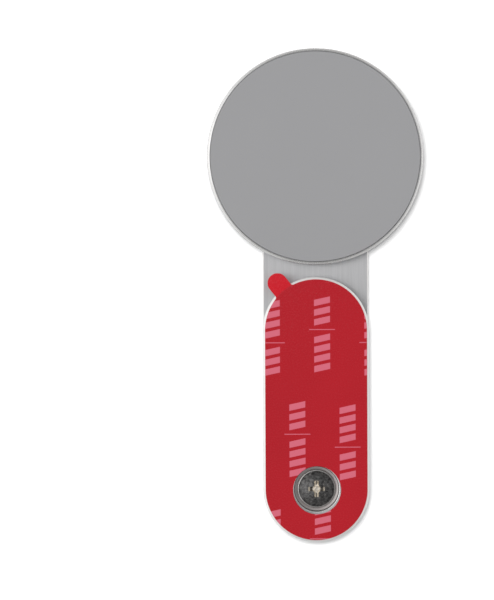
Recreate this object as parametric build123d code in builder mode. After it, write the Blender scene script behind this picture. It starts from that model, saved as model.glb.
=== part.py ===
from build123d import *
from math import cos, radians, sin
import os

# A fold-out magnetic phone holder for the back of a screen. The base plate is taped to the screen,
# the arm swings about a friction screw in it, and the disc on the arm's end holds the phone.
# Millimetres. X is across the arm, Y runs from the pivot to the disc and Z points at the user.
# The origin is the middle of the folded holder, on the arm's back.

# Arm and base plate
body_width = 28.0
reach = 87.5  # pivot to the centre of the disc
arm_thickness = 2.5
arm_bevel = 0.6  # bright cut round the arm's front
back_bevel = 0.3  # broken edge of every back face
back_wall = 0.9  # metal left behind the arm's blind holes
plate_gap = 3.25  # free arm between the plate's end and the disc
plate_thickness = 3.0
plate_bevel = 0.6
bevel_fall = 0.42  # height that each bright bevel loses over its width
web_thickness = 1.1  # metal left under the screw's recess
recess_diameter = 11.8
recess_bevel = 0.3

# Adhesive pad and its release liner
tape_inset = 0.6  # the tape is cut a little smaller than the plate
foam_thickness = 1.1
liner_thickness = 0.13
tape_hole_diameter = 12.6
tape_hole_shift = (0.1, -0.3)  # the punched hole sits a little off the pivot
tab_width = 5.2
tab_stand = 2.6  # the liner's edge to the centre of the tab's round end
tab_angle = 39.0  # degrees, anticlockwise from +Y
tab_root_radius = 0.6

# Pivot
post_diameter = 6.0
post_clearance = 0.05  # running fit in the base plate
post_base_diameter = 8.0
knurl_teeth = 24
washer_clearance = 0.1  # round the post and the screw
glide_diameter = 18.0
glide_thickness = 0.4
spring_diameter = 10.0
spring_thickness = 0.3
spring_rise = 0.15
spring_play = 0.025  # at each side of the curved washer
retainer_diameter = 10.0
retainer_thickness = 0.5
pivot_thread = 4.0
pivot_head_diameter = 9.4
pivot_head_height = 1.5
pivot_drive_width = 4.7
pivot_drive_depth = 1.3

# Disc
disc_diameter = 57.0
rim_bevel = 0.7
floor_thickness = 1.0
ledge_width = 0.45  # carries the edge of the face pad
pad_gap = 0.15  # groove between the face pad and the rim
pad_thickness = 0.7
pad_stand = 0.1  # the face pad stands proud of the rim
film_thickness = 0.1
film_gap = 0.1

# Magnets and what holds them
magnet_count = 16
magnet_width = 4.2
magnet_thickness = 2.0
magnet_clearance = 0.1
finger_width = 0.4  # plastic between two magnets
yoke_thickness = 0.4
carrier_clearance = 0.15
carrier_wall = 1.2
carrier_web = 1.0
rib_count = 6
rib_thickness = 1.0
rib_clearance = 2.0  # from the heads of the housing screws

# Housing screws
screw_count = 3
screw_circle_diameter = 16.0
screw_thread = 2.0
screw_hole_clearance = 0.1
screw_head_diameter = 4.0
screw_head_height = 0.7
screw_drive_width = 2.2
screw_drive_depth = 0.45

# Shape of both kinds of screw
dome_rim_share = 0.3  # straight rim of a domed head, as a share of its height
drive_wing_share = 0.22  # width of the cross's wings, as a share of its span
drive_floor_share = 0.5  # span at the bottom of the cross, as a share of its span
screw_tip_gap = 0.3  # left free at the bottom of a threaded hole

# Places along Y
body_radius = body_width / 2
disc_radius = disc_diameter / 2
plate_length = reach - disc_radius - plate_gap + body_radius
plate_span = plate_length - body_width  # between the centres of the plate's round ends
total_length = body_radius + reach + disc_radius
pivot_y = body_radius - total_length / 2
plate_y = pivot_y + plate_span / 2
disc_y = pivot_y + reach

# Levels along Z, from the arm's back to the liner
plate_bottom = arm_thickness + glide_thickness
web_top = plate_bottom + web_thickness
spring_top = web_top + spring_thickness + spring_rise + 2 * spring_play
retainer_top = spring_top + retainer_thickness
plate_top = plate_bottom + plate_thickness
foam_top = plate_top + foam_thickness
liner_top = foam_top + liner_thickness
floor_top = arm_thickness + floor_thickness
yoke_top = floor_top + yoke_thickness
magnet_top = yoke_top + magnet_thickness
ledge_top = magnet_top + film_thickness
pad_top = ledge_top + pad_thickness
rim_top = pad_top - pad_stand

# Radii in the disc, from the rim inwards
seat_radius = disc_radius - rim_bevel
pad_radius = seat_radius - pad_gap
cavity_radius = seat_radius - ledge_width
magnet_outer = cavity_radius - carrier_clearance
magnet_inner = magnet_outer - magnet_width
hub_radius = magnet_inner - carrier_clearance
rib_start = (screw_circle_diameter + screw_head_diameter) / 2 + rib_clearance
magnet_pitch = 360 / magnet_count

# Centre of the tape's hole in the base plate's sketch
hole_in_plate = (tape_hole_shift[0], tape_hole_shift[1] - plate_span / 2)


def level(y, z):
    """A plane parallel to XY at height z, with its origin on the holder's middle line."""
    return Plane((0, y, z))


def section(y, z):
    """An upright plane through the middle line's point y, drawn in X and Z."""
    return Plane((0, y, z), x_dir=(1, 0, 0), z_dir=(0, -1, 0))


def make_screw(thread, shank, head_diameter, head_height, drive_width, drive_depth, domed):
    """A screw with a cross recess, its seat on XY and its head upward, domed or with a flat top."""
    radius = thread / 2
    head_radius = head_diameter / 2
    rim_height = dome_rim_share * head_height if domed else head_height
    with BuildPart() as screw:
        with BuildSketch(section(0, 0)):
            with BuildLine():
                side = Polyline(
                    (0, -shank),
                    (radius, -shank),
                    (radius, 0),
                    (head_radius, 0),
                    (head_radius, rim_height),
                )
                if domed:
                    # three slopes stand for the dome, which saves faces
                    dome = TangentArc((0, head_height), side @ 1, tangent=(1, 0), mode=Mode.PRIVATE)
                    crown = Polyline(*(dome @ share for share in (0, 0.4, 0.75, 1)))
                else:
                    crown = Line((0, head_height), side @ 1)
                Line(crown @ 0, side @ 0)
            make_face()
        revolve(axis=Axis.Z)
        for depth, span in ((0, drive_width), (drive_depth, drive_floor_share * drive_width)):
            with BuildSketch(level(0, head_height - depth)):
                Rectangle(span, drive_wing_share * drive_width)
                Rectangle(drive_wing_share * drive_width, span)
        loft(mode=Mode.SUBTRACT)
    return screw.part


def make_ring(y, bottom, thickness, outer_radius, inner_radius):
    """A flat ring, such as a plain washer."""
    with BuildPart() as ring:
        with BuildSketch(level(y, bottom)):
            Circle(outer_radius)
            Circle(inner_radius, mode=Mode.SUBTRACT)
        extrude(amount=thickness)
    return ring.part


os.makedirs("parts", exist_ok=True)

# Base plate, counterbored from the front for the pivot screw
with BuildPart() as base_plate:
    with BuildSketch(level(plate_y, plate_bottom)):
        SlotOverall(plate_length, body_width, rotation=90)
    extrude(amount=plate_thickness)
    chamfer(base_plate.faces().sort_by(Axis.Z)[0].edges(), length=back_bevel)
    front = base_plate.faces().sort_by(Axis.Z)[-1]
    chamfer(front.edges(), length=plate_bevel, length2=bevel_fall, reference=front)
    with Locations((0, pivot_y, plate_top)):
        CounterBoreHole(
            radius=post_diameter / 2 + post_clearance,
            counter_bore_radius=recess_diameter / 2,
            counter_bore_depth=plate_thickness - web_thickness,
        )
    recess_mouth = base_plate.faces().sort_by(Axis.Z)[-1].inner_wires()[0]
    chamfer(recess_mouth.edges(), length=recess_bevel)
base_plate.part.label = "base_plate"
export_step(base_plate.part, "parts/base_plate.step")

# Foam tape, die-cut to the plate
with BuildPart() as adhesive_pad:
    with BuildSketch(level(plate_y, plate_top)):
        SlotOverall(plate_length - 2 * tape_inset, body_width - 2 * tape_inset, rotation=90)
        with Locations(hole_in_plate):
            Circle(tape_hole_diameter / 2, mode=Mode.SUBTRACT)
    extrude(amount=foam_thickness)
adhesive_pad.part.label = "adhesive_pad"
export_step(adhesive_pad.part, "parts/adhesive_pad.step")

# Release liner, with the tab that it is pulled off by
tab_root = Location((0, plate_span / 2, 0), (0, 0, tab_angle + 90))
tab_length = body_radius - tape_inset + tab_stand + tab_width / 2
tab_tip = (
    -sin(radians(tab_angle)) * tab_length,
    plate_span / 2 + cos(radians(tab_angle)) * tab_length,
)
with BuildPart() as release_liner:
    with BuildSketch(level(plate_y, foam_top)) as liner_outline:
        SlotOverall(plate_length - 2 * tape_inset, body_width - 2 * tape_inset, rotation=90)
        with Locations(tab_root):
            SlotOverall(tab_length, tab_width, align=(Align.MIN, Align.CENTER))
        # Nearest the tip are the two ends of the tab's round end, and then its two roots
        tab_corners = liner_outline.vertices().sort_by_distance(tab_tip)
        fillet(tab_corners[2:4], radius=tab_root_radius)
        with Locations(hole_in_plate):
            Circle(tape_hole_diameter / 2, mode=Mode.SUBTRACT)
    extrude(amount=liner_thickness)
release_liner.part.label = "release_liner"
export_step(release_liner.part, "parts/release_liner.step")

# Arm, with a blind pocket for the post and blind threads for the housing screws
with BuildPart() as arm_plate:
    with BuildSketch(level((pivot_y + disc_y) / 2, 0)):
        SlotCenterToCenter(reach, body_width, rotation=90)
    extrude(amount=arm_thickness)
    chamfer(arm_plate.faces().sort_by(Axis.Z)[0].edges(), length=back_bevel)
    front = arm_plate.faces().sort_by(Axis.Z)[-1]
    chamfer(front.edges(), length=arm_bevel, length2=bevel_fall, reference=front)
    with BuildSketch(level(pivot_y, arm_thickness)):
        RegularPolygon(post_base_diameter / 2, side_count=knurl_teeth)
    extrude(amount=back_wall - arm_thickness, mode=Mode.SUBTRACT)
    with Locations((0, disc_y, arm_thickness)):
        with PolarLocations(screw_circle_diameter / 2, screw_count, start_angle=90):
            Hole(screw_thread / 2, depth=arm_thickness - back_wall)
arm_plate.part.label = "arm_plate"
export_step(arm_plate.part, "parts/arm_plate.step")

# Pivot post, with a knurled base pressed into the arm and a thread through its middle
with BuildPart() as pivot_post:
    with BuildSketch(level(pivot_y, back_wall)):
        RegularPolygon(post_base_diameter / 2, side_count=knurl_teeth)
    extrude(amount=arm_thickness - back_wall)
    with BuildSketch(level(pivot_y, arm_thickness)):
        Circle(post_diameter / 2)
    extrude(amount=spring_top - arm_thickness)
    with Locations((0, pivot_y, spring_top)):
        Hole(pivot_thread / 2)
pivot_post.part.label = "pivot_post"
export_step(pivot_post.part, "parts/pivot_post.step")

# Glide washer between the arm and the base plate
glide_washer = make_ring(
    pivot_y, arm_thickness, glide_thickness, glide_diameter / 2, post_diameter / 2 + washer_clearance
)
glide_washer.label = "glide_washer"
export_step(glide_washer, "parts/glide_washer.step")

# Curved spring washer, which presses on the web along its two low edges
spring_radius = spring_diameter / 2
with BuildPart() as spring_washer:
    with BuildSketch(section(pivot_y, web_top + spring_play)):
        with BuildLine():
            lower = ThreePointArc((-spring_radius, 0), (0, spring_rise), (spring_radius, 0))
            upper = ThreePointArc(
                (-spring_radius, spring_thickness),
                (0, spring_thickness + spring_rise),
                (spring_radius, spring_thickness),
            )
            Line(lower @ 0, upper @ 0)
            Line(lower @ 1, upper @ 1)
        make_face()
    extrude(amount=spring_radius, both=True)
    with BuildSketch(level(pivot_y, web_top)):
        Circle(spring_radius)
        Circle(post_diameter / 2 + washer_clearance, mode=Mode.SUBTRACT)
    extrude(amount=spring_top - web_top, mode=Mode.INTERSECT)
spring_washer.part.label = "spring_washer"
export_step(spring_washer.part, "parts/spring_washer.step")

# Retaining washer, clamped on the post by the screw
retaining_washer = make_ring(
    pivot_y, spring_top, retainer_thickness, retainer_diameter / 2, pivot_thread / 2 + washer_clearance
)
retaining_washer.label = "retaining_washer"
export_step(retaining_washer, "parts/retaining_washer.step")

# Pivot screw
with BuildPart() as pivot_screw:
    with Locations((0, pivot_y, retainer_top)):
        add(
            make_screw(
                thread=pivot_thread,
                shank=retainer_top - back_wall - screw_tip_gap,
                head_diameter=pivot_head_diameter,
                head_height=pivot_head_height,
                drive_width=pivot_drive_width,
                drive_depth=pivot_drive_depth,
                domed=True,
            )
        )
pivot_screw.part.label = "pivot_screw"
export_step(pivot_screw.part, "parts/pivot_screw.step")

# Disc housing, turned with a bright bevelled rim, a ledge for the pad and a cavity for the magnets
with BuildPart() as disc_housing:
    with BuildSketch(section(disc_y, 0)):
        with BuildLine():
            Polyline(
                (0, arm_thickness),
                (disc_radius - back_bevel, arm_thickness),
                (disc_radius, arm_thickness + back_bevel),
                (disc_radius, rim_top - bevel_fall),
                (seat_radius, rim_top),
                (seat_radius, ledge_top),
                (cavity_radius, ledge_top),
                (cavity_radius, floor_top),
                (0, floor_top),
                close=True,
            )
        make_face()
    revolve(axis=Axis((0, disc_y, 0), (0, 0, 1)))
    with Locations((0, disc_y, floor_top)):
        with PolarLocations(screw_circle_diameter / 2, screw_count, start_angle=90):
            Hole(screw_thread / 2 + screw_hole_clearance)
disc_housing.part.label = "disc_housing"
export_step(disc_housing.part, "parts/disc_housing.step")

# Housing screws, hidden under the magnet carrier
with BuildPart() as housing_screws:
    with Locations((0, disc_y, floor_top)):
        with PolarLocations(screw_circle_diameter / 2, screw_count, start_angle=90):
            add(
                make_screw(
                    thread=screw_thread,
                    shank=floor_thickness + arm_thickness - back_wall - screw_tip_gap,
                    head_diameter=screw_head_diameter,
                    head_height=screw_head_height,
                    drive_width=screw_drive_width,
                    drive_depth=screw_drive_depth,
                    domed=False,
                )
            )
housing_screws.part.label = "housing_screws"
export_step(housing_screws.part, "parts/housing_screws.step")

# Steel yoke ring behind the magnets
yoke_ring = make_ring(disc_y, floor_top, yoke_thickness, magnet_outer, magnet_inner)
yoke_ring.label = "yoke_ring"
export_step(yoke_ring, "parts/yoke_ring.step")

# Moulded carrier, a ribbed cap whose fingers keep the magnets apart
with BuildPart() as magnet_carrier:
    with BuildSketch(level(disc_y, floor_top)):
        Circle(hub_radius)
    extrude(amount=magnet_top - floor_top)
    with BuildSketch(level(disc_y, floor_top)):
        Circle(hub_radius - carrier_wall)
        with PolarLocations((hub_radius + rib_start) / 2, rib_count):
            Rectangle(hub_radius - rib_start, rib_thickness, mode=Mode.SUBTRACT)
    extrude(amount=magnet_top - carrier_web - floor_top, mode=Mode.SUBTRACT)
    finger_root = hub_radius - carrier_wall
    with BuildSketch(level(disc_y, yoke_top)):
        with PolarLocations((finger_root + magnet_outer) / 2, magnet_count, magnet_pitch / 2):
            Rectangle(magnet_outer - finger_root, finger_width)
    extrude(amount=magnet_thickness)
magnet_carrier.part.label = "magnet_carrier"
export_step(magnet_carrier.part, "parts/magnet_carrier.step")

# Magnets, each an arc segment between two fingers
half_pitch = radians(magnet_pitch / 2)
wedge_start = (finger_width / 2 + magnet_clearance) / sin(half_pitch)
wedge_end = (wedge_start + disc_radius * cos(half_pitch), disc_radius * sin(half_pitch))
for number in range(magnet_count):
    with BuildPart() as magnet:
        with BuildSketch(level(disc_y, yoke_top).rotated((0, 0, number * magnet_pitch))):
            Circle(magnet_outer)
            Circle(magnet_inner, mode=Mode.SUBTRACT)
            with BuildLine():
                Polyline((wedge_start, 0), wedge_end, (wedge_end[0], -wedge_end[1]), close=True)
            make_face(mode=Mode.INTERSECT)
        extrude(amount=magnet_thickness)
    magnet.part.label = f"magnet_{number + 1:02d}"
    export_step(magnet.part, f"parts/{magnet.part.label}.step")

# Double-sided film under the face pad
with BuildPart() as pad_film:
    with BuildSketch(level(disc_y, magnet_top)):
        Circle(cavity_radius - film_gap)
    extrude(amount=film_thickness)
pad_film.part.label = "pad_film"
export_step(pad_film.part, "parts/pad_film.step")

# Silicone face pad that the phone rests on
with BuildPart() as face_pad:
    with BuildSketch(level(disc_y, ledge_top)):
        Circle(pad_radius)
    extrude(amount=pad_thickness)
face_pad.part.label = "face_pad"
export_step(face_pad.part, "parts/face_pad.step")

print("folded size", disc_diameter, "x", total_length, "x", round(liner_top, 2))
print("pivot at y", round(pivot_y, 3), "disc at y", round(disc_y, 3))
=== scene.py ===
from math import atan2, cos, pi, radians, sin, sqrt

import bmesh
import bpy
from mathutils import Matrix, Vector, noise


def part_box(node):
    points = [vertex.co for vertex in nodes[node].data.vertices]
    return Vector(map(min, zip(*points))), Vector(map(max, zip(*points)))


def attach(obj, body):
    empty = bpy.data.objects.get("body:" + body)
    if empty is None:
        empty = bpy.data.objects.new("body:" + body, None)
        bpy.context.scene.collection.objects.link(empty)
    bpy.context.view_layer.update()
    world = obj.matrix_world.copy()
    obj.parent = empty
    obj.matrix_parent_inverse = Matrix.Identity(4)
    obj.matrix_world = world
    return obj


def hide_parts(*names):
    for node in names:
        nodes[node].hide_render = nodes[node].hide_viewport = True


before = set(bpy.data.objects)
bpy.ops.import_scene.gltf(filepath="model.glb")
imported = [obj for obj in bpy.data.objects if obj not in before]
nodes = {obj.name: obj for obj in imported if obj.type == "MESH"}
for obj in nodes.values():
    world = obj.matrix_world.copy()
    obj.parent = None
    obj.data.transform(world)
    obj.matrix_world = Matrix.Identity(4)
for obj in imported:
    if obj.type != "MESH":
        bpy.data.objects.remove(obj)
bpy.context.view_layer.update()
scene = bpy.context.scene
mm = 0.001
perMm = 1 / mm
weld = 2e-7  # in metres; points that are closer than this become one
overcut = 1.0  # in mm; how far a cutter reaches past what it cuts

# The camera looks straight down. Its lens fits the long side of the picture, 600 pixels high.
pictureValues = {
    "pixelsHigh": 600,
    "pixelsPerMm": 3.80,
    "lens": 220.0,
    "sensor": 36.0,
    "middleX": -18.1,  # what the middle of the picture looks at, in mm
    "middleY": -1.21,
    "sharpHeight": 6.0,  # the height that the scale holds at
    "roll": -0.24,  # degrees
    "sight": (0.01, 20.0),  # nearest and farthest, in metres
}

# Key places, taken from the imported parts
armLow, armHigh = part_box("arm_plate")
plateLow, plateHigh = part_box("base_plate")
foamLow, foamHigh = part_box("adhesive_pad")
linerLow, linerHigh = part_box("release_liner")
housingLow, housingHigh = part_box("disc_housing")
padLow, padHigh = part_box("face_pad")
screwLow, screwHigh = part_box("pivot_screw")
retainerLow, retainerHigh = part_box("retaining_washer")
filmLow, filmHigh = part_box("pad_film")
yokeLow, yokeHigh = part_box("yoke_ring")

bodyRadius = (armHigh.x - armLow.x) / 2
tapeRadius = (foamHigh.x - foamLow.x) / 2
pivotY = armLow.y + bodyRadius
discY = (housingLow.y + housingHigh.y) / 2
plateY = (plateLow.y + plateHigh.y) / 2
plateSpan = plateHigh.y - plateLow.y - 2 * bodyRadius  # between the centres of the round ends


# Short ways to build node trees

def feed(tree, socket, value):
    # a socket is linked, and anything else is typed in
    if isinstance(value, bpy.types.NodeSocket):
        tree.links.new(value, socket)
    else:
        socket.default_value = value


def put(tree, kind, sockets=None, **settings):
    node = tree.nodes.new(kind)
    for name, value in settings.items():
        setattr(node, name, value)
    for name, value in (sockets or {}).items():
        feed(tree, node.inputs[name], value)
    return node


def output(tree, kind, sockets=None, **settings):
    return put(tree, kind, sockets, **settings).outputs[0]


def calc(tree, operation, *values):
    return output(tree, "ShaderNodeMath", dict(enumerate(values)), operation=operation)


def calcVector(tree, operation, *values):
    node = put(tree, "ShaderNodeVectorMath", dict(enumerate(values)), operation=operation)
    return node.outputs["Value" if operation in ("LENGTH", "DOT_PRODUCT") else "Vector"]


def add(tree, total, *others):
    for other in others:
        total = calc(tree, "ADD", total, other)
    return total


def times(tree, value, other):
    return calc(tree, "MULTIPLY", value, other)


def minus(tree, value, other):
    return calc(tree, "SUBTRACT", value, other)


def weighted(tree, *parts):
    # the sum of values, each with its weight
    return add(tree, *(times(tree, value, weight) for value, weight in parts))


def remap(tree, value, fromLow, fromHigh, toLow=0.0, toHigh=1.0):
    return output(
        tree, "ShaderNodeMapRange",
        {"Value": value, "From Min": fromLow, "From Max": fromHigh, "To Min": toLow, "To Max": toHigh},
    )


def split(tree, vector):
    return put(tree, "ShaderNodeSeparateXYZ", {"Vector": vector}).outputs


def noiseField(tree, sockets, **settings):
    return put(tree, "ShaderNodeTexNoise", sockets, **settings).outputs["Fac"]


socketKinds = {float: "Float", int: "Int", bool: "Bool"}


def newTree(name, inputs, outputs, family="Shader", gives="Float"):
    # an input's default gives its type, or a word in its place names the type
    tree = bpy.data.node_groups.new(name, family + "NodeTree")
    for label, default in inputs.items():
        named = isinstance(default, str)
        socketType = "NodeSocket" + (default if named else socketKinds[type(default)])
        socket = tree.interface.new_socket(name=label, in_out="INPUT", socket_type=socketType)
        if not named:
            socket.default_value = default
    for label in outputs:
        tree.interface.new_socket(name=label, in_out="OUTPUT", socket_type="NodeSocket" + gives)
    return tree, tree.nodes.new("NodeGroupInput").outputs, tree.nodes.new("NodeGroupOutput").inputs


# Shader groups that several finishes share

def brushGrainGroup():
    # fine lines that run along Y, as a belt leaves them, with broader soft streaks under them
    tree, given, result = newTree(
        "brushGrain",
        {
            "Vector": "Vector",
            "Lines": 9.0,  # in a millimetre
            "Streaks": 0.7,
            "Length": 40.0,  # how much longer than wide
        },
        ("Tone", "Height"),
    )
    layers = []
    for density, detail in ((given["Lines"], 3.0), (given["Streaks"], 2.0)):
        across = times(tree, density, perMm)
        along = calc(tree, "DIVIDE", across, given["Length"])
        scale = output(tree, "ShaderNodeCombineXYZ", {"X": across, "Y": along, "Z": across})
        stretched = calcVector(tree, "MULTIPLY", given["Vector"], scale)
        sockets = {"Vector": stretched, "Scale": 1.0, "Detail": detail, "Roughness": 0.6}
        layers.append(noiseField(tree, sockets))
    fine, broad = layers
    feed(tree, result["Tone"], weighted(tree, (fine, 0.45), (broad, 0.55)))
    feed(tree, result["Height"], fine)
    return tree


def turnedRingsGroup():
    # rings round an upright axis, as a lathe tool leaves them
    tree, given, result = newTree(
        "turnedRings",
        {"Vector": "Vector", "Centre": "Vector", "Lines": 8.0},  # lines in a millimetre
        ("Tone", "Height"),
    )
    offset = calcVector(tree, "SUBTRACT", given["Vector"], given["Centre"])
    distance = calcVector(tree, "LENGTH", calcVector(tree, "MULTIPLY", offset, (1.0, 1.0, 0.0)))
    reach = times(tree, distance, times(tree, given["Lines"], perMm))
    fineRings = {"W": reach, "Scale": 1.0, "Detail": 3.0, "Roughness": 0.65}
    wideRings = {"W": times(tree, reach, 0.12), "Scale": 1.0, "Detail": 2.0}  # one for about 8 fine ones
    fine, wide = (noiseField(tree, sockets, noise_dimensions="1D") for sockets in (fineRings, wideRings))
    feed(tree, result["Tone"], weighted(tree, (fine, 0.5), (wide, 0.5)))
    feed(tree, result["Height"], fine)
    return tree


def mottleGroup():
    # soft clouds and a fine grain, for anything moulded, cast or plated
    tree, given, result = newTree(
        "mottle",
        {"Vector": "Vector", "Clouds": 0.2, "Grain": 6.0},  # both in a millimetre
        ("Clouds", "Grain"),
    )
    for label, detail in (("Clouds", 3.0), ("Grain", 2.0)):
        scale = times(tree, given[label], perMm)
        sockets = {"Vector": given["Vector"], "Scale": scale, "Detail": detail, "Roughness": 0.55}
        feed(tree, result[label], noiseField(tree, sockets))
    return tree


def scratchesGroup():
    # thin hairlines in all directions, broken up so that few are long
    tree, given, result = newTree(
        "scratches",
        {"Vector": "Vector", "Density": 0.5, "Width": 0.02},  # density in a millimetre
        ("Mask",),
    )
    scale = times(tree, given["Density"], perMm)
    field = noiseField(tree, {"Vector": given["Vector"], "Scale": scale, "Detail": 1.0, "Distortion": 1.5})
    away = calc(tree, "ABSOLUTE", minus(tree, field, 0.5))
    line = remap(tree, away, 0.0, given["Width"], 1.0, 0.0)
    # a finer noise blanks the lines wherever it is under its mean
    breaks = noiseField(tree, {"Vector": given["Vector"], "Scale": times(tree, scale, 2.3)})
    feed(tree, result["Mask"], times(tree, line, remap(tree, breaks, 0.5, 0.6)))
    return tree


def barDistanceGroup():
    # how far a point lies outside a flat bar with round ends, below 0 inside it
    tree, given, result = newTree(
        "barDistance",
        {"Vector": "Vector", "Middle Y": 0.0, "Half Span": 0.0, "Radius": 0.0},
        ("Distance",),
    )
    parts = split(tree, given["Vector"])
    along = calc(tree, "ABSOLUTE", minus(tree, parts["Y"], given["Middle Y"]))
    past = calc(tree, "MAXIMUM", minus(tree, along, given["Half Span"]), 0.0)
    corner = output(tree, "ShaderNodeCombineXYZ", {"X": parts["X"], "Y": past})
    feed(tree, result["Distance"], minus(tree, calcVector(tree, "LENGTH", corner), given["Radius"]))
    return tree


grain = brushGrainGroup()
rings = turnedRingsGroup()
mottle = mottleGroup()
scratches = scratchesGroup()
barDistance = barDistanceGroup()
print("shader groups made")


# Finishes, by their names
finishes = {}


class Finish:
    # a new material with its Principled shader, and short ways to build its nodes
    def __init__(self, name, **shader):
        self.material = bpy.data.materials.new(name)
        finishes[name] = self.material
        self.material.use_nodes = True
        self.tree = self.material.node_tree
        self.shader = self.tree.nodes["Principled BSDF"]
        for socket, value in shader.items():
            self.shader.inputs[socket.replace("_", " ")].default_value = value
        self.place = self.tree.nodes.new("ShaderNodeTexCoord").outputs["Object"]

    def group(self, tree, **sockets):
        node = put(self.tree, "ShaderNodeGroup", node_tree=tree)
        feed(self.tree, node.inputs["Vector"], self.place)
        for name, value in sockets.items():
            feed(self.tree, node.inputs[name.replace("_", " ")], value)
        return node.outputs

    def calc(self, operation, *values):
        return calc(self.tree, operation, *values)

    def span(self, value, low=0.0, high=1.0, fromLow=0.25, fromHigh=0.75):
        # spreads a noise value between low and high
        return remap(self.tree, value, fromLow, fromHigh, low, high)

    def mix(self, factor, first, second):
        # a colour mix has its own sockets on the Mix node, 6 and 7 going in and 2 coming out
        node = put(self.tree, "ShaderNodeMix", {0: factor, 6: first, 7: second}, data_type="RGBA")
        return node.outputs[2]

    def tones(self, factor, colour, dark, light):
        # between a darker and a lighter tone of one colour
        return self.mix(factor, shade(colour, dark), shade(colour, light))

    def colour(self, value):
        feed(self.tree, self.shader.inputs["Base Color"], value)

    def rough(self, value, low, high):
        feed(self.tree, self.shader.inputs["Roughness"], self.span(value, low, high))

    def bump(self, height, depth, strength=1.0):
        # depth is in mm
        sockets = {"Height": height, "Strength": strength, "Distance": depth * mm}
        feed(self.tree, self.shader.inputs["Normal"], output(self.tree, "ShaderNodeBump", sockets))


def shade(colour, factor=1.0):
    return (*(channel * factor for channel in colour), 1.0)


def brushedAluminium():
    values = {"colour": (0.62, 0.62, 0.629), "lines": 9.0, "streaks": 0.9, "depth": 0.0012}
    finish = Finish("brushed_aluminium", Metallic=0.92, Anisotropic=0.8)
    lines = finish.group(grain, Lines=values["lines"], Streaks=values["streaks"], Length=45.0)
    clouds = finish.group(mottle, Clouds=0.08, Grain=3.0)
    tone = weighted(finish.tree, (lines["Tone"], 0.8), (clouds["Clouds"], 0.2))
    tone = finish.span(tone, fromLow=0.38, fromHigh=0.62)
    finish.colour(finish.tones(tone, values["colour"], 0.92, 1.08))
    finish.rough(lines["Tone"], 0.44, 0.54)
    finish.bump(lines["Height"], values["depth"])
    # the shine spreads across the grain, and turns with the piece
    acrossGrain = output(
        finish.tree, "ShaderNodeVectorTransform", {"Vector": (1.0, 0.0, 0.0)},
        vector_type="VECTOR", convert_from="OBJECT", convert_to="WORLD",
    )
    feed(finish.tree, finish.shader.inputs["Tangent"], acrossGrain)


def mottledFinish(name, colour, tones, rough, cells, depth, strength=1.0, **shader):
    # clouds in the tone of one colour, and a fine grain in its roughness and its surface.
    # cells are how many of both there are in a millimetre.
    finish = Finish(name, **shader)
    clouds = finish.group(mottle, Clouds=cells[0], Grain=cells[1])
    finish.colour(finish.tones(finish.span(clouds["Clouds"]), colour, *tones))
    finish.rough(clouds["Grain"], *rough)
    finish.bump(clouds["Grain"], depth, strength)


def machinedCut(name, colour, rough, metallic):
    # less metallic is the milkier look that a thick clear anodised layer gives
    mottledFinish(name, colour, (0.95, 1.03), rough, (0.35, 5.0), 0.0008, Metallic=metallic)


def mouldedPlastic(name, colour, rough, depth, **shader):
    mottledFinish(name, colour, (0.92, 1.06), rough, (0.2, 8.0), depth, **shader)


def turnedAluminium(name, centreY, lines, depth, tone):
    finish = Finish(name, Metallic=1.0)
    marks = finish.group(rings, Centre=(0.0, centreY, 0.0), Lines=lines)
    clouds = finish.group(mottle, Clouds=0.15, Grain=4.0)
    finish.colour(finish.tones(finish.span(marks["Tone"]), tone, 0.9, 1.08))
    finish.rough(clouds["Grain"], 0.26, 0.38)
    finish.bump(marks["Height"], depth)


def greySilicone():
    values = {
        "colour": (0.215, 0.215, 0.220),
        "tones": (0.985, 1.015),
        "rough": (0.62, 0.74),
        "cells": (0.03, 7.0),
        "depth": 0.004,
        "strength": 0.6,
    }
    mottledFinish(
        "grey_silicone", **values, Specular_IOR_Level=0.35, Sheen_Weight=0.06, Sheen_Roughness=0.5
    )


def foamTape():
    values = {"colour": (0.36, 0.36, 0.365), "cells": 5.0, "depth": 0.05}  # cells in a millimetre
    finish = Finish("foam_tape", Roughness=0.85, Specular_IOR_Level=0.3)
    sockets = {"Vector": finish.place, "Scale": values["cells"] * perMm}
    cells = put(finish.tree, "ShaderNodeTexVoronoi", sockets).outputs["Distance"]
    clouds = finish.group(mottle, Clouds=0.5, Grain=9.0)
    pits = finish.span(cells, fromLow=0.1, fromHigh=0.5)
    finish.colour(finish.tones(pits, values["colour"], 0.72, 1.08))
    finish.bump(weighted(finish.tree, (pits, 1.0), (clouds["Grain"], 0.3)), values["depth"])


def redFilm():
    # darker where it lies on the grey tape, brighter where the tab hangs free over bright metal
    # the free tab's brighter red is painted light, for light off that metal shining back through the film
    values = {
        "overTape": (0.290, 0.0060, 0.0120),
        "free": (0.380, 0.0042, 0.0114),
        "edge": (0.36, 0.022, 0.030),
        "edgeLine": 0.14,
        "freeFade": 0.25,
    }
    finish = Finish("red_film", Coat_Weight=0.12, Coat_Roughness=0.1, Specular_IOR_Level=0.2)
    tape = finish.group(barDistance, Middle_Y=plateY, Half_Span=plateSpan / 2, Radius=tapeRadius)
    outside = tape["Distance"]
    clouds = finish.group(mottle, Clouds=0.06, Grain=2.2)
    free = finish.span(outside, fromLow=0.0, fromHigh=values["freeFade"] * mm)
    tapeEdge = remap(finish.tree, finish.calc("ABSOLUTE", outside), 0.0, values["edgeLine"] * mm, 1.0, 0.0)
    base = finish.tones(finish.span(clouds["Clouds"]), values["overTape"], 0.96, 1.04)
    # painted light: the free tab gets the brighter red
    base = finish.mix(free, base, shade(values["free"]))
    finish.colour(finish.mix(times(finish.tree, tapeEdge, 0.5), base, shade(values["edge"])))
    finish.rough(clouds["Grain"], 0.25, 0.29)
    finish.bump(clouds["Clouds"], 0.008)


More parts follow.
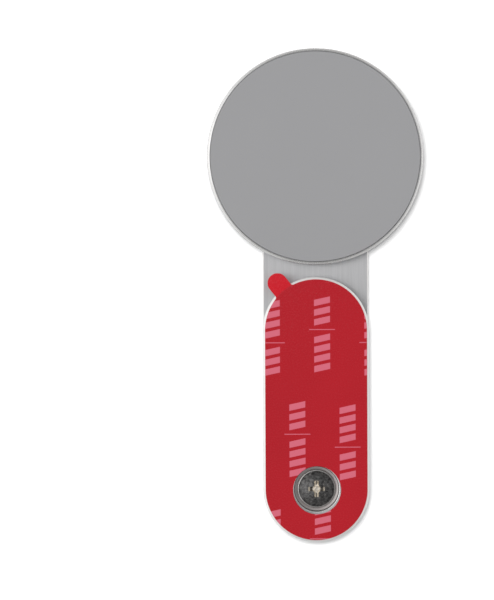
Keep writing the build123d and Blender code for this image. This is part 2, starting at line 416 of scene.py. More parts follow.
def paleInk():
    finish = Finish("pale_ink", Specular_IOR_Level=0.3)
    clouds = finish.group(mottle, Clouds=0.4, Grain=8.0)
    finish.colour(finish.tones(finish.span(clouds["Grain"]), (0.44, 0.092, 0.130), 0.94, 1.05))
    finish.rough(clouds["Clouds"], 0.4, 0.5)


def darkNickel():
    values = {"colour": (0.115, 0.113, 0.112), "worn": (0.42, 0.40, 0.37)}
    finish = Finish("dark_nickel", Metallic=1.0)
    marks = finish.group(rings, Centre=(0.0, pivotY, 0.0), Lines=4.0)
    clouds = finish.group(mottle, Clouds=1.1, Grain=1.9)
    lines = finish.group(scratches, Density=0.55, Width=0.03)
    blotches = weighted(finish.tree, (clouds["Clouds"], 0.5), (clouds["Grain"], 0.5))
    tone = finish.tones(finish.span(blotches, fromLow=0.38, fromHigh=0.64), values["colour"], 0.5, 1.9)
    finish.colour(finish.mix(times(finish.tree, lines["Mask"], 0.7), tone, shade(values["worn"])))
    finish.rough(clouds["Grain"], 0.32, 0.5)
    heights = weighted(finish.tree, (marks["Height"], 0.5), (clouds["Clouds"], 1.0), (lines["Mask"], -1.0))
    finish.bump(heights, 0.03)


def wornDriveAndGlints():
    # pale metal, partly wear from the driver and partly painted highlights for the glints in the recess:
    # in the middle, on the walls of two wings and at the ends of the others
    values = {
        "bareAndGlint": (0.90, 0.82, 0.70),
        "plated": (0.13, 0.122, 0.112),
        "middle": 1.05,
        "wallsFrom": 0.15,
        "wallsTo": 0.7,
        "ends": 1.75,
        "fade": 0.2,
    }
    finish = Finish("worn_drive_and_glints", Metallic=0.7)
    clouds = finish.group(mottle, Clouds=1.8, Grain=7.0)
    distance = finish.group(barDistance, Middle_Y=pivotY)["Distance"]
    side = finish.calc("ABSOLUTE", split(finish.tree, finish.place)["X"])

    def past(value, limit):
        reach, fade = values[limit] * mm, values["fade"] * mm / 2
        return remap(finish.tree, value, reach - fade, reach + fade)

    middle = minus(finish.tree, 1.0, past(distance, "middle"))
    walls = minus(finish.tree, past(side, "wallsFrom"), past(side, "wallsTo"))
    rubbedAndGlinting = finish.calc("MAXIMUM", finish.calc("MAXIMUM", middle, walls), past(side, "ends"))
    patches = remap(finish.tree, clouds["Clouds"], 0.35, 0.6, 0.45, 1.0)
    rubbedAndGlinting = times(finish.tree, rubbedAndGlinting, patches)
    # painted highlights and wear: pale metal where the mask is high, dark plating elsewhere
    finish.colour(finish.mix(rubbedAndGlinting, shade(values["plated"]), shade(values["bareAndGlint"])))
    finish.rough(clouds["Grain"], 0.12, 0.26)
    finish.bump(clouds["Grain"], 0.003)


def platedSteel(name, colour, rough):
    finish = Finish(name, Metallic=1.0)
    clouds = finish.group(mottle, Clouds=0.9, Grain=7.0)
    lines = finish.group(scratches, Density=0.4, Width=0.02)
    tone = finish.tones(finish.span(clouds["Clouds"], fromLow=0.35, fromHigh=0.65), colour, 0.82, 1.12)
    finish.colour(finish.mix(times(finish.tree, lines["Mask"], 0.4), tone, shade(colour, 1.3)))
    finish.rough(clouds["Grain"], *rough)
    finish.bump(clouds["Grain"], 0.003)


brushedAluminium()
machinedCut("bright_cut", (0.86, 0.855, 0.845), (0.2, 0.3), 1.0)
machinedCut("milky_cut", (0.70, 0.69, 0.68), (0.28, 0.38), 0.5)
turnedAluminium("turned_housing", discY, 6.0, 0.0015, (0.70, 0.70, 0.71))
turnedAluminium("turned_recess", pivotY, 7.0, 0.006, (0.550, 0.508, 0.498))
greySilicone()
foamTape()
redFilm()
paleInk()
darkNickel()
wornDriveAndGlints()
platedSteel("bright_steel", (0.605, 0.585, 0.570), (0.22, 0.36))
platedSteel("magnet_nickel", (0.62, 0.61, 0.58), (0.14, 0.24))
mouldedPlastic("glide_plastic", (0.80, 0.80, 0.77), (0.35, 0.5), 0.003, Subsurface_Weight=0.1)
mouldedPlastic("carrier_plastic", (0.03, 0.03, 0.032), (0.4, 0.55), 0.006)
mouldedPlastic("clear_film", (0.78, 0.77, 0.70), (0.15, 0.25), 0.002, Transmission_Weight=0.4)
print("finishes made:", len(finishes))


# Geometry Nodes: a half section swept round one axis, or round a bar with two round ends

def meshGrid(tree, sockets):
    return put(tree, "GeometryNodeMeshGrid", sockets).outputs["Mesh"]


def sweptSolidTree():
    tree, given, result = newTree(
        "sweptSolid",
        {
            "Half Section": "Geometry",
            "Centre": "Vector",
            "Span": 0.0,  # 0 gives a round piece
            "Half Turn Steps": 96,
            "Rounding Steps": 3,
            "Ring Section": False,  # the section is a closed loop away from the axis
            "Face Finish": "Material",
            "Bevel Finish": "Material",
        },
        ("Solid",), "Geometry", "Geometry",
    )
    # the corners of the section are rounded by the radius that each of them carries
    radius = output(tree, "GeometryNodeInputNamedAttribute", {"Name": "rounding"}, data_type="FLOAT")
    rounded = calc(tree, "GREATER_THAN", radius, weld)
    steps = times(tree, rounded, given["Rounding Steps"])
    line = output(tree, "GeometryNodeMeshToCurve", {"Mesh": given["Half Section"]})
    section = output(
        tree, "GeometryNodeFilletCurve",
        {"Curve": line, "Count": steps, "Radius": radius, "Limit Radius": True},
        mode="POLY",
    )
    counted = put(tree, "GeometryNodeAttributeDomainSize", {"Geometry": section}, component="CURVE")
    points = counted.outputs["Point Count"]

    # a grid of points: a row for each point of the section, and a column for each step round the turn
    halfColumns = add(tree, given["Half Turn Steps"], 1.0)
    columns = times(tree, halfColumns, 2.0)
    perRow = add(tree, columns, 1.0)
    rows = add(tree, points, given["Ring Section"])
    sheet = meshGrid(tree, {"Vertices X": rows, "Vertices Y": perRow})
    index = output(tree, "GeometryNodeInputIndex")
    row = calc(tree, "FLOOR", calc(tree, "DIVIDE", add(tree, index, 0.5), perRow))
    column = minus(tree, index, times(tree, row, perRow))
    place = output(tree, "GeometryNodeInputPosition")
    corner = output(
        tree, "GeometryNodeSampleIndex",
        {"Geometry": section, "Value": place, "Index": calc(tree, "MODULO", row, points)},
        data_type="FLOAT_VECTOR", domain="POINT",
    )
    corner = split(tree, corner)

    # the first half turn goes round the far end, the second round the near end
    turned = calc(tree, "MODULO", column, columns)
    half = calc(tree, "FLOOR", calc(tree, "DIVIDE", add(tree, turned, 0.5), halfColumns))
    within = minus(tree, turned, times(tree, half, halfColumns))
    turns = add(tree, half, calc(tree, "DIVIDE", within, given["Half Turn Steps"]))
    angle = times(tree, turns, pi)
    end = times(tree, given["Span"], minus(tree, 0.5, half))
    x = times(tree, corner["X"], calc(tree, "COSINE", angle))
    y = add(tree, end, times(tree, corner["X"], calc(tree, "SINE", angle)))
    wrapped = output(tree, "ShaderNodeCombineXYZ", {"X": x, "Y": y, "Z": corner["Z"]})
    moved = calcVector(tree, "ADD", wrapped, given["Centre"])
    solid = output(tree, "GeometryNodeSetPosition", {"Geometry": sheet, "Position": moved})
    solid = output(tree, "GeometryNodeMergeByDistance", {"Geometry": solid, "Distance": weld})

    # faces that tilt by 18 to 63 degrees get the bevel's finish
    middleTilt, around = 0.7, 0.25  # of the normal's Z
    upright = calc(tree, "ABSOLUTE", split(tree, output(tree, "GeometryNodeInputNormal"))["Z"])
    slanted = calc(tree, "COMPARE", upright, middleTilt, around)
    solid = output(tree, "GeometryNodeRealizeInstances", {"Geometry": solid})
    for label, chosen in (("Face Finish", True), ("Bevel Finish", slanted)):
        sockets = {"Geometry": solid, "Selection": chosen, "Material": given[label]}
        solid = output(tree, "GeometryNodeSetMaterial", sockets)
    feed(tree, result["Solid"], solid)
    return tree


def makePlain(piece):
    # what the modifiers make becomes the piece's own mesh
    graph = bpy.context.evaluated_depsgraph_get()
    mesh = bpy.data.meshes.new_from_object(piece.evaluated_get(graph), depsgraph=graph)
    piece.modifiers.clear()
    piece.data = mesh


def faceOutwards(piece):
    form = bmesh.new()
    form.from_mesh(piece.data)
    bmesh.ops.remove_doubles(form, verts=form.verts, dist=weld)
    bmesh.ops.recalc_face_normals(form, faces=form.faces)
    form.to_mesh(piece.data)
    form.free()


def newPiece(name, mesh):
    piece = bpy.data.objects.new(name, mesh)
    scene.collection.objects.link(piece)
    return piece


def grow(piece, tree, inputs):
    # a modifier's inputs are set by their identifiers
    modifier = piece.modifiers.new(tree.name, "NODES")
    modifier.node_group = tree
    for item in tree.interface.items_tree:
        if item.in_out == "INPUT" and item.name in inputs:
            modifier[item.identifier] = inputs[item.name]
    makePlain(piece)
    faceOutwards(piece)


sweptSolid = sweptSolidTree()


def sweep(name, corners, centre, faceFinish, bevelFinish=None, span=0.0, steps=96, ring=False):
    # centre is (x, y) in metres. Corners are (radius, height) in mm, with a third number where they
    # are rounded, and run from the axis and back to it, or make a loop for a ring.
    mesh = bpy.data.meshes.new(name)
    count = len(corners)
    edges = [(i, (i + 1) % count) for i in range(count if ring else count - 1)]
    mesh.from_pydata([(radius * mm, 0.0, height * mm) for radius, height, *_ in corners], edges, [])
    rounding = mesh.attributes.new("rounding", "FLOAT", "POINT")
    for point, (_, _, *soft) in zip(rounding.data, corners):
        point.value = sum(soft) * mm  # 0 without a third number
    piece = newPiece(name, mesh)
    inputs = {
        "Centre": (*centre, 0.0),
        "Span": span,
        "Half Turn Steps": steps,
        "Ring Section": ring,
        "Face Finish": finishes[faceFinish],
        "Bevel Finish": finishes[bevelFinish or faceFinish],
    }
    grow(piece, sweptSolid, inputs)
    return piece


def cut(piece, cutter):
    # the cut faces keep the cutter's finish
    modifier = piece.modifiers.new("cut", "BOOLEAN")
    modifier.operation = "DIFFERENCE"
    modifier.solver = "EXACT"
    modifier.material_mode = "TRANSFER"
    modifier.object = cutter
    makePlain(piece)
    bpy.data.objects.remove(cutter)


def finishSmooth(piece, sharpAngle=32.0):
    # round faces shade smoothly, and wide flat ones stay flat beside their small roundings
    piece.data.shade_smooth()
    piece.data.set_sharp_from_angle(angle=radians(sharpAngle))
    modifier = piece.modifiers.new("flats", "WEIGHTED_NORMAL")
    modifier.keep_sharp = True
    makePlain(piece)


def seat(piece, body, slotName, *replaced):
    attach(piece, body)
    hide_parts(*replaced)


def drill(piece, centre, radius, bottom, top, finish, steps):
    section = [(0.0, bottom), (radius, bottom), (radius, top), (0.0, top)]
    cut(piece, sweep("drill", section, centre, finish, steps=steps))


def measures(lowCorner, highCorner):
    # radius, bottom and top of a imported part, in mm
    return (highCorner.x - lowCorner.x) / 2 / mm, lowCorner.z / mm, highCorner.z / mm


def makeBar(name, lowCorner, highCorner, values):
    # a flat bar with round ends, bevelled round both faces
    radius, low, high = measures(lowCorner, highCorner)
    soft = values["rounding"]
    return sweep(
        name,
        [
            (0.0, low),
            (radius - values["backBevel"], low, soft),
            (radius, low + values["backBevel"], soft),
            (radius, high - values["frontDrop"], values["edgeRounding"]),
            (radius - values["frontBevel"], high, soft),
            (0.0, high),
        ],
        (0.0, (lowCorner.y + highCorner.y) / 2),
        "brushed_aluminium",
        "milky_cut",
        span=highCorner.y - lowCorner.y - 2 * radius * mm,
    )


# Arm: a bar with blind holes under the pivot and under the disc
housingScrews = {"count": 3, "circleDiameter": 16.0, "clearHole": 2.2, "threadHole": 2.0}


def screwPlaces():
    for number in range(housingScrews["count"]):
        angle = radians(90 + number * 360 / housingScrews["count"])
        radius = housingScrews["circleDiameter"] / 2 * mm
        yield radius * cos(angle), discY + radius * sin(angle)


def makeArm():
    values = {
        "frontBevel": 0.32,
        "frontDrop": 0.26,
        "backBevel": 0.3,
        "rounding": 0.06,
        "edgeRounding": 0.06,
        "backWall": 0.9,
        "pocketDiameter": 8.0,
    }
    arm = makeBar("brushed_arm", armLow, armHigh, values)
    wall, above = values["backWall"], armHigh.z / mm + overcut
    drill(arm, (0.0, pivotY), values["pocketDiameter"] / 2, wall, above, "turned_recess", steps=12)
    for place in screwPlaces():
        drill(arm, place, housingScrews["threadHole"] / 2, wall, above, "turned_recess", steps=24)
    finishSmooth(arm)
    seat(arm, "arm", "brushed_aluminium", "arm_plate")


# Base plate: the same bar, shorter, with a counterbore for the pivot screw
def makePlate():
    values = {
        "frontBevel": 0.6,
        "frontDrop": 0.42,
        "backBevel": 0.3,
        "rounding": 0.06,
        "edgeRounding": 0.18,
        "web": 1.1,
        "recessDiameter": 11.8,
        "recessLip": 0.3,
        "lipSteps": 6,
        "lipLift": 0.005,  # so that the lip runs out just above the face
        "recessCorner": 0.18,
        "boreDiameter": 6.1,
    }
    plate = makeBar("brushed_plate", plateLow, plateHigh, values)
    _, low, high = measures(plateLow, plateHigh)
    below, floor, above = low - overcut, low + values["web"], high + overcut
    bore, recess, lip = values["boreDiameter"] / 2, values["recessDiameter"] / 2, values["recessLip"]
    lipTop = high + values["lipLift"]
    lipTurns = [radians(90 * step / values["lipSteps"]) for step in range(values["lipSteps"] + 1)]
    cutter = sweep(
        "counterbore",
        [
            (0.0, below),
            (bore, below),
            (bore, floor, values["rounding"]),
            (recess, floor, values["recessCorner"]),
            *((recess + lip * (1 - cos(turn)), lipTop - lip * (1 - sin(turn))) for turn in lipTurns),
            (recess + lip, above),
            (0.0, above),
        ],
        (0.0, pivotY),
        "turned_recess",
        "bright_cut",
    )
    cut(plate, cutter)
    finishSmooth(plate)
    seat(plate, "base", "brushed_aluminium", "base_plate")


# Disc housing: a turned cup with a bevelled rim, a ledge for the pad and a cavity for the magnets
def makeHousing():
    values = {
        "rimBevel": 0.7,
        "rimDrop": 0.42,
        "backBevel": 0.3,
        "ledge": 0.45,
        "rounding": 0.05,
        "rimRounding": 0.35,
        "seatRounding": 0.02,
    }
    radius, low, high = measures(housingLow, housingHigh)
    ledge, floor = filmHigh.z / mm, yokeLow.z / mm
    seatRadius = radius - values["rimBevel"]
    cavity = seatRadius - values["ledge"]
    soft, crisp = values["rounding"], values["seatRounding"]
    housing = sweep(
        "turned_cup",
        [
            (0.0, low),
            (radius - values["backBevel"], low, soft),
            (radius, low + values["backBevel"], soft),
            (radius, high - values["rimDrop"], values["rimRounding"]),
            (seatRadius, high, crisp),
            (seatRadius, ledge, crisp),
            (cavity, ledge, crisp),
            (cavity, floor, soft),
            (0.0, floor),
        ],
        (0.0, discY),
        "turned_housing",
        "bright_cut",
        steps=144,
    )
    hole = housingScrews["clearHole"] / 2
    for place in screwPlaces():
        drill(housing, place, hole, low - overcut, floor + overcut, "turned_housing", steps=24)
    finishSmooth(housing)
    seat(housing, "arm", "brushed_aluminium", "disc_housing")


# Face pad: a flat silicone disc with a softened edge
def makePad():
    values = {"edgeBevel": 0.12, "rounding": 0.05}
    radius, low, high = measures(padLow, padHigh)
    pad = sweep(
        "silicone_face",
        [
            (0.0, low),
            (radius, low),
            (radius, high - values["edgeBevel"], values["rounding"]),
            (radius - values["edgeBevel"], high, values["rounding"]),
            (0.0, high),
        ],
        (0.0, discY),
        "grey_silicone",
        steps=144,
    )
    finishSmooth(pad)
    seat(pad, "arm", "grey_silicone", "face_pad")


# Retaining washer, stamped, with rounded edges
def makeRetainer():
    values = {"hole": 4.2, "edge": 0.14}
    radius, low, high = measures(retainerLow, retainerHigh)
    hole, edge = values["hole"] / 2, values["edge"]
    washer = sweep(
        "plated_washer",
        [(hole, low, edge / 2), (radius, low, edge / 2), (radius, high, edge), (hole, high, edge)],
        (0.0, pivotY),
        "bright_steel",
        ring=True,
    )
    finishSmooth(washer)
    seat(washer, "arm", "bright_steel", "retaining_washer")


# Pivot screw: a domed head with a cross recess
pivotScrew = {
    "thread": 4.0,
    "headDiameter": 9.4,
    "headHeight": 1.5,
    "rimHeight": 0.45,
    "rimRounding": 0.16,
    "seatRounding": 0.05,
    "tipRounding": 0.1,
    "domeSteps": 18,
    "crossSpan": 4.7,
    "wingWidth": 1.4,
    "webCorner": 1.0,  # where the slanted corner between two wings starts
    "crossDepth": 1.3,
    "floorSpan": 2.35,
    "floorWing": 0.55,
    "floorCorner": 0.55,
    "cutterRise": 0.4,  # how far the cutter's walls run on past the dome
}


def crossLoop(form, span, wing, corner, height):
    # one outline of the recess, four wings with a slanted corner between each two
    tip, half = span / 2, wing / 2
    loop = []
    for quarter in range(4):
        turn = Matrix.Rotation(quarter * pi / 2, 4, "Z")
        for x, y in ((tip, -half), (tip, half), (corner, half), (half, corner)):
            loop.append(form.verts.new(turn @ Vector((x * mm, y * mm, height * mm))))
    return loop


def bridge(form, lower, upper):
    count = len(lower)
    for i in range(count):
        j = (i + 1) % count
        form.faces.new((lower[i], lower[j], upper[j], upper[i]))


def makeCrossCutter(seatHeight):
    values = pivotScrew
    top, depth, rise = seatHeight + values["headHeight"], values["crossDepth"], values["cutterRise"]
    slope = (values["crossSpan"] - values["floorSpan"]) / depth
    mouthSpan = values["crossSpan"] + slope * rise
    form = bmesh.new()
    floor = crossLoop(form, values["floorSpan"], values["floorWing"], values["floorCorner"], top - depth)
    mouth = crossLoop(form, mouthSpan, values["wingWidth"], values["webCorner"], top + rise)
    bridge(form, floor, mouth)
    form.faces.new(reversed(floor))
    form.faces.new(mouth)
    mesh = bpy.data.meshes.new("cross_recess")
    form.to_mesh(mesh)
    form.free()
    mesh.transform(Matrix.Translation((0.0, pivotY, 0.0)))
    mesh.materials.append(finishes["worn_drive_and_glints"])
    cutter = newPiece("cross_recess", mesh)
    faceOutwards(cutter)
    return cutter


def makeScrew():
    values = pivotScrew
    radius, thread = values["headDiameter"] / 2, values["thread"] / 2
    seatHeight, tip = retainerHigh.z / mm, screwLow.z / mm
    rise = values["headHeight"] - values["rimHeight"]
    domeRadius = (radius ** 2 + rise ** 2) / (2 * rise)
    domeMiddle = seatHeight + values["headHeight"] - domeRadius
    outs = [radius * (1 - step / values["domeSteps"]) for step in range(1, values["domeSteps"] + 1)]
    screw = sweep(
        "dark_screw",
        [
            (0.0, tip),
            (thread, tip, values["tipRounding"]),
            (thread, seatHeight, values["seatRounding"]),
            (radius, seatHeight, values["seatRounding"]),
            (radius, seatHeight + values["rimHeight"], values["rimRounding"]),
            *((out, domeMiddle + sqrt(domeRadius ** 2 - out ** 2)) for out in outs),
        ],
        (0.0, pivotY),
        "dark_nickel",
    )
    cut(screw, makeCrossCutter(seatHeight))
    finishSmooth(screw)
    seat(screw, "arm", "dark_nickel", "pivot_screw")


makeArm()
makePlate()
makeHousing()
makePad()
makeRetainer()
makeScrew()
print("metal and pad made")


# Foam tape and release liner, die-cut to one outline
tapeValues = {"holeDiameter": 12.6, "holeShiftX": 0.1, "holeShiftY": -0.3}
holeX, holeY = tapeValues["holeShiftX"] * mm, pivotY + tapeValues["holeShiftY"] * mm


def makeFoam():
    values = {"sideRings": 8}
    radius, low, high = measures(foamLow, foamHigh)
    hole = tapeValues["holeDiameter"] / 2
    levels = [low + (high - low) * ring / values["sideRings"] for ring in range(values["sideRings"] + 1)]
    foam = sweep(
        "tape_foam",
        [(0.0, low), *((radius, height) for height in levels), (0.0, high)],
        (0.0, plateY),
        "foam_tape",
        span=plateSpan,
        steps=128,
    )
    punch = sweep(
        "punch",
        [
            (0.0, low - overcut),
            (hole, low - overcut),
            *((hole, height) for height in levels[1:-1]),
            (hole, high + overcut),
            (0.0, high + overcut),
        ],
        (holeX, holeY),
        "foam_tape",
    )
    cut(foam, punch)
    return foam


def roughenFoam(foam):
    # the knife leaves the cells in the tape's side open, so the side isn't quite smooth
    values = {"depth": 0.035, "cells": 2.2, "sunk": 0.6, "plainEdge": 0.01, "sideways": 0.5}
    low, high = foamLow.z, foamHigh.z
    for vertex in foam.data.vertices:
        inside = min(vertex.co.z - low, high - vertex.co.z) / (high - low)
        normal = Vector((vertex.normal.x, vertex.normal.y, 0.0))
        if inside > values["plainEdge"] and normal.length > values["sideways"]:
            swing = noise.noise(vertex.co * (values["cells"] * perMm)) - values["sunk"]
            vertex.co += normal.normalized() * (swing * values["depth"] * mm)


def linerOutline():
    # the tape's outline with the tab, as points that run round it once
    values = {
        "tabAngle": 39.0,
        "tabWidth": 5.2,
        "tabStand": 2.6,  # from the tape's edge to the middle of the tab's round end
        "rootRadius": 0.6,
        "endSteps": 96,
        "tabSteps": 32,
        "rootSteps": 8,
    }
    radius, half, root = tapeRadius / mm, values["tabWidth"] / 2, values["rootRadius"]
    centre = Vector((0.0, (plateY + plateSpan / 2) / mm))
    tabDirection = radians(90 + values["tabAngle"])
    along = Vector((cos(tabDirection), sin(tabDirection)))
    across = Vector((-along.y, along.x))
    rootAlong = sqrt((radius + root) ** 2 - (half + root) ** 2)
    tipAlong = radius + values["tabStand"]
    spread = atan2(half + root, rootAlong)  # from the tab's middle to where a root touches the round end

    def arc(middle, size, start, end, steps):
        for step in range(steps + 1):
            angle = start + (end - start) * step / steps
            yield middle + size * Vector((cos(angle), sin(angle)))

    outline = [*arc(centre, radius, 0.0, tabDirection - spread, values["endSteps"])]
    rightRoot = centre + along * rootAlong - across * (half + root)
    rightSide, leftSide = tabDirection - pi / 2, tabDirection + pi / 2
    outline += arc(rightRoot, root, tabDirection - spread + pi, leftSide, values["rootSteps"])
    outline += arc(centre + along * tipAlong, half, rightSide, leftSide, values["tabSteps"])
    leftRoot = centre + along * rootAlong + across * (half + root)
    outline += arc(leftRoot, root, rightSide, tabDirection + spread - pi, values["rootSteps"])
    outline += arc(centre, radius, tabDirection + spread, pi, values["endSteps"])
    nearEnd = centre - Vector((0.0, plateSpan / mm))
    outline += arc(nearEnd, radius, pi, 2 * pi, 2 * values["endSteps"])
    return outline, centre, along, values["tabStand"] + half


def makeFilm(inkThickness):
    values = {"holeSteps": 160, "bendSteps": 14, "tabDroop": 0.2}
    outline, centre, along, tabReach = linerOutline()
    form = bmesh.new()
    thickness = linerHigh.z - inkThickness - linerLow.z
    hole = tapeValues["holeDiameter"] / 2 * mm
    turns = [2 * pi * step / values["holeSteps"] for step in range(values["holeSteps"])]
    paths = (
        [(point.x * mm, point.y * mm) for point in outline],
        [(holeX + hole * cos(turn), holeY + hole * sin(turn)) for turn in turns],
    )
    loops = [[form.verts.new((x, y, linerLow.z)) for x, y in path] for path in paths]
    bmesh.ops.remove_doubles(form, verts=form.verts, dist=weld)
    edges = []
    for loop in loops:
        loop = [vertex for vertex in loop if vertex.is_valid]
        edges += [form.edges.new((loop[i - 1], loop[i])) for i in range(len(loop))]
    bmesh.ops.triangle_fill(form, use_beauty=True, use_dissolve=False, edges=edges)
    for item in bmesh.ops.extrude_face_region(form, geom=list(form.faces))["geom"]:
        if isinstance(item, bmesh.types.BMVert):
            item.co.z += thickness

    # the free tab hangs a little, in a smooth bend from the tape's edge
    start = Vector((centre.x * mm, centre.y * mm, 0.0))
    direction = Vector((along.x, along.y, 0.0))
    tabLength = tabReach * mm
    for step in range(values["bendSteps"]):
        distance = tapeRadius + tabLength * (step + 0.5) / values["bendSteps"]
        bmesh.ops.bisect_plane(
            form,
            geom=[*form.verts, *form.edges, *form.faces],
            dist=weld,
            plane_co=start + direction * distance,
            plane_no=direction,
        )
    for vertex in form.verts:
        beyond = max((vertex.co - start).dot(direction) - tapeRadius, 0.0)
        vertex.co.z -= values["tabDroop"] * mm * (beyond / tabLength) ** 2
    bmesh.ops.recalc_face_normals(form, faces=form.faces)
    mesh = bpy.data.meshes.new("liner_film")
    form.to_mesh(mesh)
    form.free()
    mesh.materials.append(finishes["red_film"])
    film = newPiece("liner_film", mesh)
    finishSmooth(film)
    return film


# Geometry Nodes: plain slanted bars printed on the liner, in staggered columns

def printMarksTree(numbers):
    tree, given, result = newTree(
        "printMarks",
        {"Geometry": "Geometry", "Clip To": "Object", **numbers, "Ink": "Material"},
        ("Print",), "Geometry", "Geometry",
    )

    def vector(x=0.0, y=0.0, z=0.0):
        return output(tree, "ShaderNodeCombineXYZ", {"X": x, "Y": y, "Z": z})

    def grid(width, height, columns=2, rows=2):
        sockets = {"Size X": width, "Size Y": height, "Vertices X": columns, "Vertices Y": rows}
        return meshGrid(tree, sockets)

    def join(*parts):
        node = tree.nodes.new("GeometryNodeJoinGeometry")
        for part in reversed(parts):
            tree.links.new(part, node.inputs[0])
        return node.outputs[0]

    # one bar, sheared so that it slants
    flat = grid(given["Bar Width"], given["Bar Thickness"])
    parts = split(tree, output(tree, "GeometryNodeInputPosition"))
    shear = vector(0.0, times(tree, parts["X"], given["Slant"]))
    bar = output(tree, "GeometryNodeSetPosition", {"Geometry": flat, "Offset": shear})

    # three bars above the thin line and four below it
    firstBar = weighted(tree, (given["Line Gap"], 1.0), (given["Bar Thickness"], 0.5))
    groups = []
    for count, side in ((3, 1.0), (4, -1.0)):
        start = vector(0.0, times(tree, firstBar, side))
        step = vector(0.0, times(tree, given["Bar Pitch"], side))
        sockets = {"Count": count, "Start Location": start, "Offset": step}
        row = output(tree, "GeometryNodeMeshLine", sockets)
        groups.append(output(tree, "GeometryNodeInstanceOnPoints", {"Points": row, "Instance": bar}))
    thinLine = grid(given["Line Length"], given["Line Thickness"])
    motif = output(tree, "GeometryNodeRealizeInstances", {"Geometry": join(*groups, thinLine)})

    # the motif's places: every second row moves half a column, and every second motif is turned round
    spots = grid(1.0, 1.0, given["Columns"], given["Rows"])
    index = output(tree, "GeometryNodeInputIndex")
    column = calc(tree, "FLOOR", calc(tree, "DIVIDE", add(tree, index, 0.5), given["Rows"]))
    row = minus(tree, index, times(tree, column, given["Rows"]))
    oddRow = calc(tree, "MODULO", row, 2.0)
    oddColumn = calc(tree, "MODULO", column, 2.0)
    turned = minus(tree, 1.0, oddColumn)
    columnsOver = weighted(tree, (column, 1.0), (oddRow, -0.5))
    spotX = add(tree, given["First X"], times(tree, given["Column Pitch"], columnsOver))
    spotY = minus(tree, given["First Y"], times(tree, given["Row Pitch"], row))
    spotY = minus(tree, spotY, times(tree, given["Stagger"], oddColumn))
    spots = output(
        tree, "GeometryNodeSetPosition",
        {"Geometry": spots, "Position": vector(spotX, spotY, given["Clip Height"])},
    )
    marks = output(
        tree, "GeometryNodeInstanceOnPoints",
        {"Points": spots, "Instance": motif, "Rotation": vector(0.0, 0.0, times(tree, turned, pi))},
    )
    marks = output(tree, "GeometryNodeRealizeInstances", {"Geometry": marks})

    # the marks get a thickness inside the tape's solid, are cut to its outline,
    # and then lie down on the liner
    tall = 0.4 * mm
    lifted = output(
        tree, "GeometryNodeExtrudeMesh",
        {"Mesh": marks, "Offset": vector(0.0, 0.0, 1.0), "Offset Scale": tall},
        mode="FACES",
    )
    under = output(tree, "GeometryNodeFlipFaces", {"Mesh": marks})
    sockets = {"Geometry": join(lifted, under), "Distance": weld}
    closed = output(tree, "GeometryNodeMergeByDistance", sockets)
    clip = put(tree, "GeometryNodeObjectInfo", {"Object": given["Clip To"]}, transform_space="RELATIVE")
    clipped = put(tree, "GeometryNodeMeshBoolean", operation="INTERSECT", solver="EXACT")
    for mesh in (clip.outputs["Geometry"], closed):
        tree.links.new(mesh, clipped.inputs[1])
    share = calc(tree, "DIVIDE", minus(tree, parts["Z"], given["Clip Height"]), tall)
    height = add(tree, given["Print Height"], times(tree, share, given["Ink Thickness"]))
    laid = output(
        tree, "GeometryNodeSetPosition",
        {"Geometry": clipped.outputs[0], "Position": vector(parts["X"], parts["Y"], height)},
    )
    laid = output(tree, "GeometryNodeRealizeInstances", {"Geometry": laid})
    laid = output(tree, "GeometryNodeSetMaterial", {"Geometry": laid, "Material": given["Ink"]})
    feed(tree, result["Print"], laid)
    return tree


def makePrint(foam, inkThickness):
    values = {
        "Columns": 4,
        "Rows": 3,
        "Column Pitch": 13.2 * mm,
        "Row Pitch": 27.5 * mm,
        "First X": -11.6 * mm,
        "First Y": -12.5 * mm,
        "Stagger": -3.45 * mm,
        "Bar Width": 4.2 * mm,
        "Bar Thickness": 1.65 * mm,
        "Bar Pitch": 2.55 * mm,
        "Slant": 0.22,
        "Line Length": 6.8 * mm,
        "Line Thickness": 0.22 * mm,
        "Line Gap": 1.5 * mm,
        "Clip Height": (foamLow.z + foamHigh.z) / 2,
        "Print Height": linerHigh.z - inkThickness,
        "Ink Thickness": inkThickness,
    }
    printed = newPiece("liner_print", bpy.data.meshes.new("liner_print"))
    grow(printed, printMarksTree(values), {**values, "Clip To": foam, "Ink": finishes["pale_ink"]})
    return printed


inkThickness = 0.008 * mm
foam = makeFoam()
printed = makePrint(foam, inkThickness)
roughenFoam(foam)
finishSmooth(foam, sharpAngle=50.0)
film = makeFilm(inkThickness)
seat(foam, "base", "foam_tape", "adhesive_pad")
seat(film, "base", "red_film", "release_liner")
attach(printed, "base")
print("tape, liner and print made:", len(printed.data.polygons), "printed faces")


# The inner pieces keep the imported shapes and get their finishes
innerFinishes = {
    "pivot_post": "bright_steel",
    "glide_washer": "glide_plastic",
    "spring_washer": "bright_steel",
    "housing_screws": "dark_nickel",
    "yoke_ring": "bright_steel",
    "magnet_carrier": "carrier_plastic",
    "pad_film": "clear_film",
}
for name, node in nodes.items():
    finish = innerFinishes.get(name, "magnet_nickel" if name.startswith("magnet_") else None)
    if finish:
        for slot in node.material_slots:
            slot.material = finishes[finish]
print("inner pieces finished")


# Floor, light and camera

def makeFloor():
    values = {
        "size": 6.0,  # in metres
        "drop": 0.05 * mm,
        "colour": (0.92, 0.92, 0.92),
        "mirrored": 0.45,  # how much dimmer it is in reflections
    }
    half = values["size"] / 2
    corners = [(x * half, y * half, -values["drop"]) for x, y in ((-1, -1), (1, -1), (1, 1), (-1, 1))]
    mesh = bpy.data.meshes.new("floor")
    mesh.from_pydata(corners, [], [(0, 1, 2, 3)])
    finish = Finish("pale_floor", Roughness=0.9, Specular_IOR_Level=0.1)
    clouds = finish.group(mottle, Clouds=0.004, Grain=0.5)
    pale = finish.tones(clouds["Clouds"], values["colour"], 0.995, 1.0)
    mirrored = put(finish.tree, "ShaderNodeLightPath").outputs["Is Glossy Ray"]
    finish.colour(finish.mix(mirrored, pale, shade(values["colour"], values["mirrored"])))
    mesh.materials.append(finish.material)
    floor = newPiece("floor", mesh)


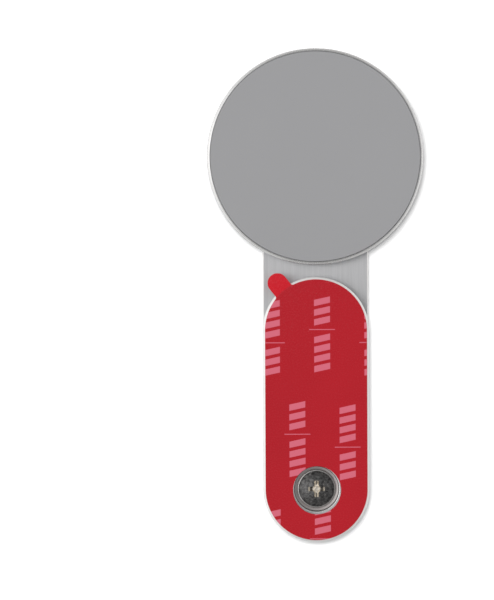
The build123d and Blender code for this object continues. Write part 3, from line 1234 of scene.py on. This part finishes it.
def makeWorld():
    # a dim room with a soft glow round the zenith, a window to the left of it,
    # and pale walls along the horizon that are brightest at the sides
    values = {
        "room": 0.12,
        "glow": 0.15,
        "glowFrom": 40.0,  # degrees from the zenith
        "glowTo": 18.0,
        "walls": 0.55,
        "left": 0.14,
        "sides": 0.72,
        "window": 1.7,
        "windowTo": (-0.49, 0.10, 0.866),  # direction of its middle
        "windowSpread": 14.0,  # more is narrower
        "wallsFade": 0.8,  # how the walls dim upwards
    }
    world = bpy.data.worlds.new("studio")
    world.use_nodes = True
    scene.world = world
    tree = world.node_tree
    direction = put(tree, "ShaderNodeTexCoord").outputs["Generated"]
    parts = split(tree, direction)
    squared = times(tree, parts["X"], parts["X"])
    sides = weighted(tree, (parts["X"], -values["left"]), (squared, values["sides"]))
    low = calc(tree, "POWER", minus(tree, 1.0, calc(tree, "ABSOLUTE", parts["Z"])), values["wallsFade"])
    walls = times(tree, add(tree, sides, values["walls"]), low)
    glowFrom, glowTo = cos(radians(values["glowFrom"])), cos(radians(values["glowTo"]))
    glow = remap(tree, parts["Z"], glowFrom, glowTo, 0.0, values["glow"])
    facing = calcVector(tree, "DOT_PRODUCT", direction, values["windowTo"])
    window = calc(tree, "POWER", calc(tree, "MAXIMUM", facing, 0.0), values["windowSpread"])
    strength = add(tree, walls, glow, values["room"], times(tree, window, values["window"]))
    feed(tree, tree.nodes["Background"].inputs["Strength"], strength)
    feed(tree, tree.nodes["Background"].inputs["Color"], (1.0, 1.0, 1.0, 1.0))


def makeKeyLight():
    # a square softbox that faces the middle of the part
    values = {"place": (-0.10, 0.18, 1.2), "size": 0.42, "power": 13.5}
    light = bpy.data.lights.new("key", "AREA")
    light.shape = "SQUARE"
    light.size = values["size"]
    light.energy = values["power"]
    lamp = bpy.data.objects.new("key", light)
    lamp.location = values["place"]
    lamp.rotation_euler = (-lamp.location).to_track_quat("-Z", "Y").to_euler()
    lamp.visible_glossy = False  # polarised, so it makes no glare on metal and film
    scene.collection.objects.link(lamp)


def makeCamera():
    values = pictureValues
    camera = bpy.data.cameras.new("camera")
    camera.lens = values["lens"]
    camera.sensor_width = values["sensor"]
    camera.clip_start, camera.clip_end = values["sight"]
    viewHeight = values["pixelsHigh"] / values["pixelsPerMm"]
    distance = viewHeight * values["lens"] / values["sensor"]
    holder = bpy.data.objects.new("camera", camera)
    holder.location = Vector((values["middleX"], values["middleY"], distance + values["sharpHeight"])) * mm
    holder.rotation_euler = (0.0, 0.0, radians(values["roll"]))
    scene.collection.objects.link(holder)
    scene.camera = holder


makeFloor()
makeWorld()
makeKeyLight()
makeCamera()
scene.view_settings.view_transform = "Standard"
print("floor, light and camera made")
